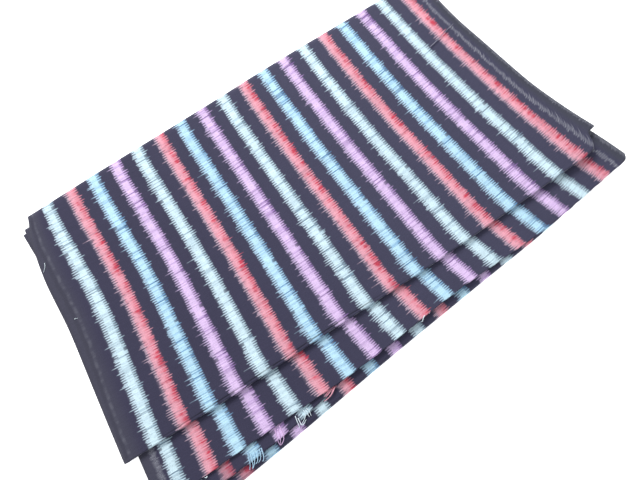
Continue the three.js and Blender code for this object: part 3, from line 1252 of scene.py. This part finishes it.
@dataclass(frozen=True)
class LooseThreads:
    """The cloth's threads that came free, gathered by colour."""

    steps: int = 6
    sides: int = 6

    def build(self) -> list[bpy.types.Object]:
        """Make one piece of all the threads of each colour.

        Returns:
            The pieces.
        """
        return [self.gather(colour) for colour in ThreadColour]

    def gather(self, colour: ThreadColour) -> bpy.types.Object:
        """Make the threads of one colour."""
        places: list[list[float]] = []
        faces: list[tuple[int, ...]] = []
        for thread in LOOSE_THREADS[colour]:
            rings = thread.rings(self.steps, self.sides) * MM
            index = np.arange(rings.shape[0] * self.sides).reshape(-1, self.sides) + len(places)
            ahead = np.roll(index, -1, axis=1)
            quads = np.stack([index[:-1], ahead[:-1], ahead[1:], index[1:]], axis=-1)
            faces.extend(tuple(quad) for quad in quads.reshape(-1, 4).tolist())
            faces.append(tuple(index[0, ::-1].tolist()))
            faces.append(tuple(index[-1].tolist()))
            places.extend(rings.reshape(-1, 3).tolist())
        mesh = bpy.data.meshes.new(f"loose {colour.label} threads")
        mesh.from_pydata(places, [], faces)
        return add_smooth(f"loose_{colour.label}_threads", mesh, ThreadFinish(colour).build())


@dataclass(frozen=True)
class Studio:
    """The pale floor, the soft light and the camera, in metres."""

    floor_size: float = 6.0
    floor_tones: tuple[Colour, Colour] = ((0.9, 0.9, 0.9, 1.0), (0.94, 0.94, 0.95, 1.0))
    floor_glow: float = 0.8
    sky: Colour = (0.93, 0.96, 1.0, 1.0)
    sky_strength: float = 0.66
    window_place: tuple[float, float, float] = (0.08, 1.15, 0.95)
    window_size: tuple[float, float] = (0.9, 0.6)
    window_power: float = 21.0
    camera_place: tuple[float, float, float] = (-0.0417, -0.1276, 0.3027)
    turn: float = math.radians(15.32)  # of the view, to the right of straight along the stripes
    tilt: float = math.radians(69.54)  # of the view, below level
    roll: float = math.radians(-18.91)
    lens_share: float = 454.9 / 640.0  # focal length over the width of the picture

    def lay_floor(self) -> None:
        """Lay the floor."""
        half = self.floor_size / 2.0
        corners = [(-half, -half, 0.0), (half, -half, 0.0), (half, half, 0.0), (-half, half, 0.0)]
        mesh = bpy.data.meshes.new("floor")
        mesh.from_pydata(corners, [], [(0, 1, 2, 3)])
        material = bpy.data.materials.new("white board")
        material.use_nodes = True
        tree = material.node_tree
        shader = tree.nodes["Principled BSDF"]
        place = tree.nodes.new("ShaderNodeTexCoord")
        noise = tree.nodes.new("ShaderNodeTexNoise")
        noise.inputs["Scale"].default_value = 3.0
        tree.links.new(place.outputs["Object"], noise.inputs["Vector"])
        tone = blend(Number(tree, noise.outputs[0]), *self.floor_tones)
        tree.links.new(tone, shader.inputs["Base Color"])
        shader.inputs["Roughness"].default_value = 0.7
        shader.inputs["Emission Color"].default_value = (1.0, 1.0, 1.0, 1.0)
        shader.inputs["Emission Strength"].default_value = self.floor_glow
        mesh.materials.append(material)
        floor = add("floor", mesh)

    def light(self) -> None:
        """Light the cloth softly from its far side, with pale light from all round."""
        world = bpy.data.worlds.new("studio")
        world.use_nodes = True
        background = world.node_tree.nodes["Background"]
        background.inputs["Color"].default_value = self.sky
        background.inputs["Strength"].default_value = self.sky_strength
        bpy.context.scene.world = world
        panel = bpy.data.lights.new("window", "AREA")
        panel.shape = "RECTANGLE"
        panel.size, panel.size_y = self.window_size
        panel.energy = self.window_power
        window = add("window", panel)
        window.location = self.window_place
        window.rotation_euler = (-window.location).to_track_quat("-Z", "Y").to_euler()

    def place_camera(self) -> None:
        """Set the camera where the photograph was taken from."""
        level = math.cos(self.tilt)
        forward = Vector((math.sin(self.turn) * level, math.cos(self.turn) * level, -math.sin(self.tilt)))
        side = forward.cross(Vector((0.0, 0.0, 1.0))).normalized()
        top = side.cross(forward)
        right = math.cos(self.roll) * side + math.sin(self.roll) * top
        up = -math.sin(self.roll) * side + math.cos(self.roll) * top
        camera = bpy.data.cameras.new("camera")
        camera.sensor_width = 36.0
        camera.lens = camera.sensor_width * self.lens_share
        camera.clip_start = 0.01
        holder = add("camera", camera)
        turned = Matrix((right, up, -forward)).transposed().to_4x4()
        holder.matrix_world = Matrix.Translation(Vector(self.camera_place)) @ turned
        bpy.context.scene.camera = holder

    def tune(self) -> None:
        """Show colours as they are, without a film look."""
        bpy.context.scene.view_settings.view_transform = "Standard"
        bpy.context.scene.view_settings.look = "None"
        bpy.context.scene.view_settings.exposure = 0.0


def main() -> None:
    """Build the cloth and the studio round it."""
    logging.basicConfig(level=logging.INFO, format="%(message)s")
    studio = Studio()
    studio.place_camera()
    studio.lay_floor()
    studio.light()
    studio.tune()
    cloth = FoldedCloth()
    cloth.middle_surface()
    folds = (cloth.fold_place(End.TOP_FOLD), cloth.fold_place(End.OUTER_FOLD))
    piece = cloth.build(FeatheredCotton(*folds, float(cloth.beaten[-1])).build())
    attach(piece, BODY)
    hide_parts(CLOTH_NODE)
    trims = LooseThreads().build()
    for trim in trims:
        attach(trim, BODY)
    log.info("cloth: %d faces, %.0f mm long", len(piece.data.polygons), cloth.length)


if __name__ == "__main__":
    main()
